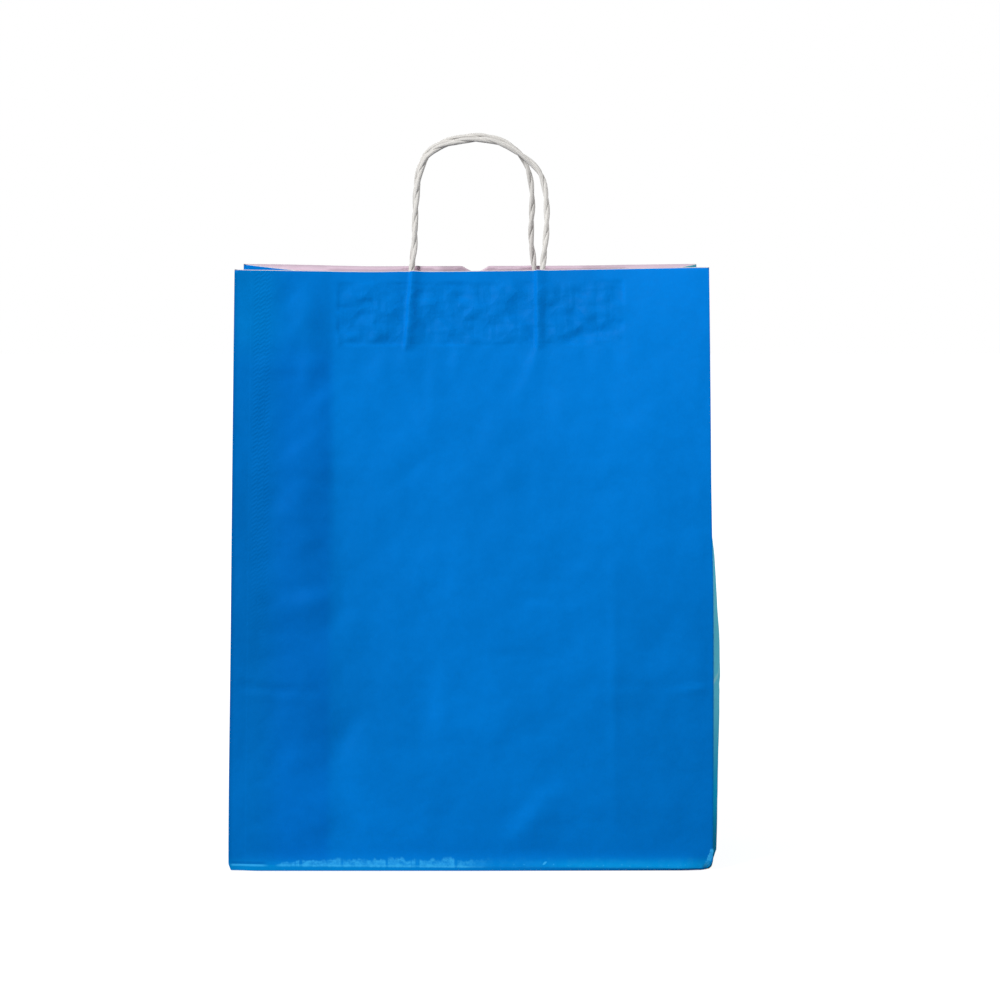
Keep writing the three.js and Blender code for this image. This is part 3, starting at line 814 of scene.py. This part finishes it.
# the printed paper: spans along the flat sheet and up it, in metres, with what they lead to if not 0 and 1
onPanel = (0.321, 0.319)
zones = {
    # painted shade over the left strip
    "leftStrip": ([(0.070, 0.062)], []),
    "seamTint": ([(0.040, 0.016)], []),
    "byMouth": ([], [(0.330, 0.365)]),
    # painted light at the top and painted shade low down, from the right of the front on
    "paintedLightRight": ([(0.20, 0.29)], [(0.03, 0.40, -0.075, 0.075)]),
    # painted shade in a zone by the valley
    "valleyShade": ([(0.15, 0.08, 0.0, 0.10)], [(0.05, 0.11), (0.30, 0.23)]),
    # painted shade along the front's left fold, and over the sheet past its right fold
    "foldShade": ([(0.0, 0.0034, 0.84, 1.0), (0.3200, 0.3186, 0.84, 1.0)], []),
    "glued": ([(0.0690, 0.0705), (0.2640, 0.2615)], [(0.3505, 0.3520), (0.3935, 0.3915)]),
    "facets": ([(0.069, 0.078), (0.264, 0.254)], [(0.3505, 0.3580), (0.3935, 0.3860)]),
    # painted highlights at the foot, below the crease and in a band above it
    "litStrip": ([(0.20, 0.02, 0.15, 0.35), onPanel], [(0.0021, 0.0017)]),
    "litBand": ([(0.19, 0.24, 0.18, 0.52), onPanel], [(0.0014, 0.0020), (0.0110, 0.0022)]),
    # painted shade over the crease at the left
    "overCrease": ([(0.0005, 0.0030), (0.027, 0.021, 0.0, 0.30)], [(0.0021, 0.0030), (0.0066, 0.0044)]),
    # painted highlight on the crease at the left
    "onCrease": ([(0.0005, 0.0030), (0.027, 0.021, 0.0, 0.80)], [(0.00125, 0.00150), (0.0022, 0.0019)]),
    "gusset": ([(0.3198, 0.3212), (0.4402, 0.4388, 0.0, 0.94)], []),
    # painted shade at the gusset's foot, and darker behind its front strip
    "gussetShade": ([(0.3215, 0.338, 1.0, 0.78)], [(0.010, 0.056, 0.45, 1.0)]),
    "palerUp": ([], [(0.05, 0.12)]),
    "paleFront": ([(0.336, 0.328, 0.0, 0.8)], []),
    # a chip at the crushed corner, which also paints the highlight on its facet
    "chipAndGlint": ([], [(0.0018, 0.0032), (0.0152, 0.0138, 0.0, 2.1)]),
    # the foot's band of scuffs, which also paints its sheen
    "scuffed": ([(0.024, 0.040), (0.176, 0.148, 0.10, 1.0), onPanel], [(0.0011, 0.0017)]),
    # painted highlight along the crease
    "creaseLine": ([], [(0.0013, 0.0017), (0.0029, 0.0022, 0.0, 0.35)]),
    "nicks": ([(0.15, 0.17), onPanel], [(0.0018, 0.0026), (0.0060, 0.0042)]),
    "knurl": ([(0.0128, 0.0138), (0.0252, 0.0242)], [(0.10, 0.26)]),
    "lap": ([(0.0108, 0.0116, 0.0, 0.00010)], []),
}
# noise patterns on it: scale, detail and roughness, then a span in the same way
specks = {
    "blotch": ((75, 2, 0.5), (0.35, 0.65, 0.3, 1.3)),
    "chipEdge": ((600, 2, 0.6), (0.3, 0.7, -0.0006, 0.0006)),
    "bandEdge": ((60, 1, 0.5), (0.3, 0.7, -0.0022, 0.0014)),
    "bandFray": ((330, 1, 0.5), (0.3, 0.7, -0.0007, 0.0005)),
    "gaps": ((75, 2, 0.6), (0.42, 0.48, 0.12, 1.0)),
    "flecks": ((1400, 1, 0.5), (0.70, 0.80, 0.0, 0.25)),
    "nicks": ((420, 2, 0.6), (0.62, 0.70, 0.0, 0.8)),
}
inkSet = {
    "ink": srgb(0, 125, 219),
    # the left strip's ink, darkened as painted shade
    "shadedLeft": (srgb(0, 117, 213), srgb(0, 122, 214)),  # low down and by the mouth
    "inkSeam": (srgb(0, 117, 206), srgb(0, 127, 213)),
    # colours for worn ink that also paints highlights, for the foot's painted highlight, and for painted
    # shade over its crease
    "wornAndSheen": srgb(56, 182, 251), "litFoot": srgb(3, 177, 245), "creaseShade": srgb(0, 70, 160),
    "paleTeal": srgb(102, 208, 232), "teal": srgb(0, 166, 216), "pale": srgb(150, 222, 232),
    "roughness": (0.3, 0.7, 0.43, 0.57), "specular": 0.015,
    "patchy": (14, 2, 0.5), "mottle": (0.30, 0.70, 0.94, 1.06), "glueTone": 0.05,
    "paleCrease": (0.320, 0.126), "paleSpan": (0.0026, 0.0008),
    "chipLine": (0.0020, 0.0150, 0.3166, 0.3200), "chipSpans": [(-0.0021, -0.0014), (0.0019, 0.0010)],
    "scuffTop": (0.030, 0.056, 0.0032, 0.0080), "scuffEdge": (0.0011, -0.0014),
    "crackle": [((240, 3, 0.6), 0.7), ((1100, 2, 0.6), 0.3)], "rubbed": (0.36, 0.64, 0.16, 0.86),
    "tearAt": (0.2093, 0.0050), "tearSize": (0.0026, 0.0011), "tearSpan": (1.3, 0.5), "mostWorn": 0.95,
    "fibreDeep": 0.00011, "knurlDeep": 0.00007,
    "dashFrom": 0.0128, "dashColumn": 0.0042, "dashPitch": 0.0028, "dashSlope": 1.4,
    "crumple": (130, 3, 0.55), "crumpleMiddle": 0.07, "crumpleDeep": (0.00030, 0.0007),
    "facetScale": 68.0, "facetMiddle": 0.45, "facetDeep": 0.0014,
}


class SheetFinish(Finish):
    def __init__(self, tree):
        super().__init__(tree)
        self.sheet = self.add("ShaderNodeUVMap", uv_map="sheet").outputs["UV"]
        split = self.add("ShaderNodeSeparateXYZ", Vector=self.sheet)
        self.along, self.up = split.outputs["X"], split.outputs["Y"]

    def zone(self, name):
        axes = zip((self.along, self.up), zones[name])
        return self.times(*(self.range(axis, *span) for axis, spans in axes for span in spans))

    def speck(self, name, vector=None):
        layer, span = specks[name]
        return self.range(self.noise(self.sheet if vector is None else vector, *layer), *span)


def shadedAndTintedInk(f, mottle, glued):
    # painted shade darkens the left strip, and the glued seam by the edge prints greener near the mouth
    ink, byMouth = inkSet["ink"], f.zone("byMouth")
    for colours, where in (("shadedLeft", "leftStrip"), ("inkSeam", "seamTint")):
        ink = f.blend(f.zone(where), ink, f.blend(byMouth, *inkSet[colours]))
    # from the right of the front on, painted light at the top and painted shade low down; painted shade in a
    # zone by the valley; and glue showing through in blotches
    glue = f.times(glued, f.speck("blotch"), inkSet["glueTone"])
    shade = f.less(f.plus(f.zone("paintedLightRight"), 1.0), f.zone("valleyShade"), glue)
    # painted shade along the front's left fold and past its right fold
    ink = f.tint(f.tint(ink, mottle), f.times(shade, f.zone("foldShade")))
    # painted highlight below the foot's crease, most at the left, and in a band above it, most at the right;
    # at the left, painted shade over the crease and a painted highlight on it
    ink = f.blend(f.math("MAXIMUM", f.zone("litStrip"), f.zone("litBand")), ink, inkSet["litFoot"])
    # painted shade: a darker line over the crease at the left
    ink = f.blend(f.zone("overCrease"), ink, inkSet["creaseShade"])
    # painted highlight on the crease at the left, in the colour of worn ink
    return f.blend(f.zone("onCrease"), ink, inkSet["wornAndSheen"])


def paleGusset(f, ink, mottle):
    # the right gusset is a paler teal, least at its foot, where painted shade darkens it; it is darker behind
    # its front strip, and has a pale crease at its front
    gusset = f.blend(f.zone("palerUp"), inkSet["teal"], inkSet["paleTeal"])
    gusset = f.tint(gusset, f.times(mottle, f.zone("gussetShade")))
    startAlong, startUp = inkSet["paleCrease"]
    offCrease = f.math("ABSOLUTE", f.less(f.less(f.up, startUp), f.less(f.along, startAlong)))
    crease = f.times(f.range(offCrease, *inkSet["paleSpan"]), f.zone("paleFront"))
    return f.blend(f.zone("gusset"), ink, f.blend(crease, gusset, inkSet["pale"]))


def footWearAndSheen(f):
    crackle = f.plus(*(f.times(f.noise(f.sheet, *layer), part) for layer, part in inkSet["crackle"]))
    rubbed = f.range(crackle, *inkSet["rubbed"])
    # a chip at the crushed corner, worn ink that also paints the highlight on its crushed facet
    slant = f.plus(f.less(f.along, f.range(f.up, *inkSet["chipLine"])), f.speck("chipEdge"))
    chipAndGlint = f.times(*(f.range(slant, *span) for span in inkSet["chipSpans"]), f.zone("chipAndGlint"), rubbed)
    # a ragged band of scuffs with gaps, worn ink that also paints the foot's sheen, over a painted highlight
    # along the crease
    ragged = f.plus(f.speck("bandEdge", f.along), f.speck("bandFray", f.along),
                    f.range(f.along, *inkSet["scuffTop"]))
    band = f.times(f.range(f.less(f.up, ragged), *inkSet["scuffEdge"]), f.zone("scuffed"))
    scuffAndSheen = f.plus(f.times(rubbed, f.speck("gaps", f.along)), f.zone("creaseLine"))
    # flecks all over, nicks at the right, and one larger tear
    nicks = f.times(f.speck("nicks"), f.zone("nicks"))
    right, above = (f.less(value, at) for value, at in zip((f.along, f.up), inkSet["tearAt"]))
    axes = zip((f.plus(right, above), f.less(above, right)), inkSet["tearSize"])
    off = f.plus(*(f.math("POWER", f.math("DIVIDE", value, size), 2.0) for value, size in axes))
    tear = f.range(off, *inkSet["tearSpan"])
    wearAndSheen = f.chain("MAXIMUM", (f.plus(f.times(band, scuffAndSheen), chipAndGlint), f.speck("flecks"), nicks, tear))
    return f.math("MINIMUM", wearAndSheen, inkSet["mostWorn"])


def printedBump(f, fibre, glued):
    # knurled seam: columns of short slanting dashes, each column half a dash off its neighbour
    column = f.math("DIVIDE", f.less(f.along, inkSet["dashFrom"]), inkSet["dashColumn"])
    pitch = inkSet["dashPitch"]
    slope = f.math("DIVIDE", f.along, inkSet["dashSlope"] * pitch)
    turns = f.plus(f.less(f.math("DIVIDE", f.up, pitch), slope), f.times(f.math("FLOOR", column), 0.5))
    knurl = f.times(f.zone("knurl"), f.math("SINE", f.times(turns, 2 * math.pi)), inkSet["knurlDeep"])
    # crumples, deeper over the glued patch, which has facets too
    crumple = f.math("ABSOLUTE", f.less(f.noise(f.sheet, *inkSet["crumple"]), 0.5))
    crumple = f.less(crumple, inkSet["crumpleMiddle"])
    crumple = f.times(crumple, f.range(glued, 0.0, 1.0, *inkSet["crumpleDeep"]))
    facet = f.add("ShaderNodeTexVoronoi", distance="MANHATTAN", Vector=f.sheet, Scale=inkSet["facetScale"])
    facet = f.less(facet.outputs["Distance"], inkSet["facetMiddle"])
    facet = f.times(facet, f.zone("facets"), inkSet["facetDeep"])
    return f.plus(f.times(fibre, inkSet["fibreDeep"]), knurl, f.zone("lap"), crumple, facet)


def makePrintedPaper():
    material, f, shader = newFinish("printedPaper", SheetFinish)
    fibre, grain = placeFibre(f, f.sheet)
    glued = f.zone("glued")
    tone = f.times(f.plus(f.noise(f.sheet, *inkSet["patchy"]), grain), 0.5)
    mottle = f.range(tone, *inkSet["mottle"])
    ink = paleGusset(f, shadedAndTintedInk(f, mottle, glued), mottle)
    # worn ink at the foot, which also paints its sheen and highlights
    ink = f.blend(footWearAndSheen(f), ink, inkSet["wornAndSheen"])
    roughness = f.range(grain, *inkSet["roughness"])
    f.paint(shader, ink, roughness, inkSet["specular"], printedBump(f, fibre, glued))
    return material


plainSet = {
    "patchy": (30, 3, 0.55), "span": (0.3, 0.7), "roughness": (0.3, 0.7, 0.78, 0.92), "specular": 0.25,
}


def makePlainPaper(name, pale, dark, deep):
    material, f, shader = newFinish(name)
    sheet = f.add("ShaderNodeUVMap", uv_map="sheet").outputs["UV"]
    fibre, grain = placeFibre(f, sheet)
    tone = f.times(f.plus(f.noise(sheet, *plainSet["patchy"]), grain), 0.5)
    colour = f.blend(f.range(tone, *plainSet["span"]), dark, pale)
    roughness = f.range(grain, *plainSet["roughness"])
    f.paint(shader, colour, roughness, plainSet["specular"], f.times(fibre, deep))
    return material


cordSet = {
    "dark": srgb(214, 211, 207), "pale": srgb(236, 234, 230), "span": (0.25, 0.75),
    "roughness": 0.85, "specular": 0.2, "fibreDeep": 0.00006,
    "streaks": 9, "streakTurn": 1500, "streakDeep": 0.00003,
}


def makeCordPaper():
    material, f, shader = newFinish("cordPaper")
    lay = f.add("ShaderNodeUVMap", uv_map="lay").outputs["UV"]
    split = f.add("ShaderNodeSeparateXYZ", Vector=lay)
    along, around = split.outputs["X"], split.outputs["Y"]
    fibre, grain = placeFibre(f, f.add("ShaderNodeTexCoord").outputs["Object"])
    turned = f.plus(f.times(around, 2 * math.pi * cordSet["streaks"]), f.times(along, cordSet["streakTurn"]))
    streak = f.math("SINE", turned)
    tone = f.plus(f.times(grain, 0.7), f.times(f.range(streak, -1.0, 1.0), 0.3))
    colour = f.blend(f.range(tone, *cordSet["span"]), cordSet["dark"], cordSet["pale"])
    lift = f.plus(f.times(fibre, cordSet["fibreDeep"]), f.times(streak, cordSet["streakDeep"]))
    f.paint(shader, colour, cordSet["roughness"], cordSet["specular"], lift)
    return material


printedPaper = makePrintedPaper()
insidePaper = makePlainPaper("insidePaper", srgb(230, 207, 223), srgb(222, 198, 215), 0.00010)
cutPaper = makePlainPaper("cutPaper", srgb(240, 236, 238), srgb(230, 226, 229), 0.00006)
patchPaper = makePlainPaper("patchPaper", srgb(236, 224, 230), srgb(225, 212, 220), 0.00012)
cordPaper = makeCordPaper()

for material in (printedPaper, insidePaper, cutPaper):
    bag.data.materials.append(material)
for pieces, finish in (([frontFlap, backFlap], printedPaper), (patches, patchPaper),
                       ([frontCord, backCord], cordPaper)):
    for piece in pieces:
        piece.data.materials.append(finish)

# thickness: printed outside, plain inside, white at the cut edge
sheetSet = {"smooth": 32, "rimLean": 0.0004}
pickPiece(bag)
editMode()
bpy.ops.mesh.select_all(action="DESELECT")
bpy.ops.mesh.select_mode(type="FACE")
bpy.ops.mesh.select_face_by_sides(number=4, type="GREATER")
bpy.ops.mesh.quads_convert_to_tris()
objectMode()
bpy.ops.object.shade_smooth_by_angle(angle=math.radians(sheetSet["smooth"]))
thicken(bag, offset=-1, material_offset=1, material_offset_rim=2)
# the cut edge at the mouth leans out a little, so that its white core shows
rim = {v for face in bag.data.polygons if face.material_index == 2 for v in face.vertices}
inner = {v for face in bag.data.polygons if face.material_index == 1 for v in face.vertices}
for v in rim & inner:
    bag.data.vertices[v].co.z += sheetSet["rimLean"]
deselectAll()
for piece in (frontFlap, backFlap, bag):
    piece.select_set(True)
bpy.context.view_layer.objects.active = bag
bpy.ops.object.join()
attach(bag, "root")
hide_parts("bag_body")
print("bag finished:", len(bag.data.polygons), "faces")


# floor and light
lightSet = {
    "world": 0.22,
    "keyLight": ((-3.7, -3.5, 3.7), 1.8, 330.0),  # place, size and power
    "sideLight": ((2.6, 0.1, 1.5), 1.0, 30.0),
    "aim": (0, 0, 0.22),
    "floorSize": 16, "floorGap": 0.0002, "floorColour": 0.35,
    "floorGlow": (0.9, 1.8, 0.87, 1.0),  # from and to this far out, from and to this strong
}

deselectAll()
bpy.ops.mesh.primitive_plane_add(size=lightSet["floorSize"], location=(0, 0, 0))
floor = namePiece("floor")
floor.location.z = -lightSet["floorGap"]
# the camera sees the floor glow to white, and the object's shadow on it
floorMaterial, f, _ = newFinish("paleFloor")
f.tree.nodes.clear()
out = f.add("ShaderNodeOutputMaterial")
matte = f.add("ShaderNodeBsdfDiffuse", Color=(lightSet["floorColour"],) * 3 + (1,))
far = f.add("ShaderNodeVectorMath", operation="LENGTH")
f.put(far.inputs[0], f.add("ShaderNodeTexCoord").outputs["Object"])
paler = f.range(far.outputs["Value"], *lightSet["floorGlow"])
seen = f.times(f.add("ShaderNodeLightPath").outputs["Is Camera Ray"], paler)
glow = f.add("ShaderNodeEmission", Strength=seen)
both = f.add("ShaderNodeAddShader")
f.put(both.inputs[0], matte.outputs[0])
f.put(both.inputs[1], glow.outputs[0])
f.put(out.inputs["Surface"], both.outputs[0])
floor.data.materials.append(floorMaterial)

# the world is white to the camera and in reflections, and gives a soft light
world = bpy.data.worlds.new("studio")
scene.world = world
world.use_nodes = True
f = Finish(world.node_tree)
f.tree.nodes.clear()
out = f.add("ShaderNodeOutputWorld")
rays = f.add("ShaderNodeLightPath")
direct = [rays.outputs[kind] for kind in ("Is Camera Ray", "Is Glossy Ray", "Is Transmission Ray")]
choose = f.add("ShaderNodeMixShader")
f.put(choose.inputs[0], f.chain("MAXIMUM", direct))
for socket, strength in zip(choose.inputs[1:], (lightSet["world"], 1.0)):
    f.put(socket, f.add("ShaderNodeBackground", Strength=strength, Color=(1, 1, 1, 1)).outputs[0])
f.put(out.inputs["Surface"], choose.outputs[0])

for name in ("keyLight", "sideLight"):
    place, size, power = lightSet[name]
    lampData = bpy.data.lights.new(name, "AREA")
    lampData.size, lampData.energy = size, power
    lamp = bpy.data.objects.new(name, lampData)
    scene.collection.objects.link(lamp)
    lamp.location = place
    lamp.rotation_euler = (Vector(lightSet["aim"]) - Vector(place)).to_track_quat("-Z", "Y").to_euler()
print("stage set")
